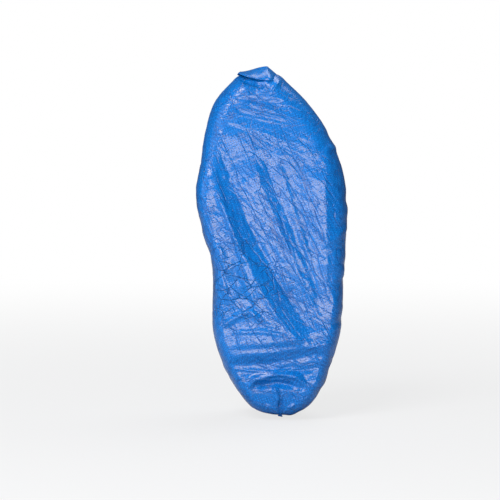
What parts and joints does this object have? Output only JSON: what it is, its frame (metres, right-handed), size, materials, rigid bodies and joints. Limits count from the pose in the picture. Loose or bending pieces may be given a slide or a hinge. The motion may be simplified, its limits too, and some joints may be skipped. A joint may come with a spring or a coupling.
{
  "type": "disposable shoe cover",
  "caption": "Disposable film shoe cover in its worn form: a hollow pouch open at the ankle, with a gathered elastic hem and welded toe and heel seams.",
  "frame": {"origin": "middle of the inner face of the sole, halfway along the cover, where the shoe's sole bears", "axes": "+Z from heel to toe, +Y out of the ankle opening, -Y out of the sole, +X to the right seen from the sole"},
  "size_m": [0.1325, 0.0984, 0.31],
  "materials": {
    "film": "thin glossy blue film with a fine embossed grain",
    "elastic": "matte covered elastic thread"
  },
  "bodies": {
    "root": {"film_body": "film", "gathered_hem": "film", "elastic_band": "elastic", "toe_seam": "film", "heel_seam": "film", "toe_ear": "film"}
  },
  "joints": []
}
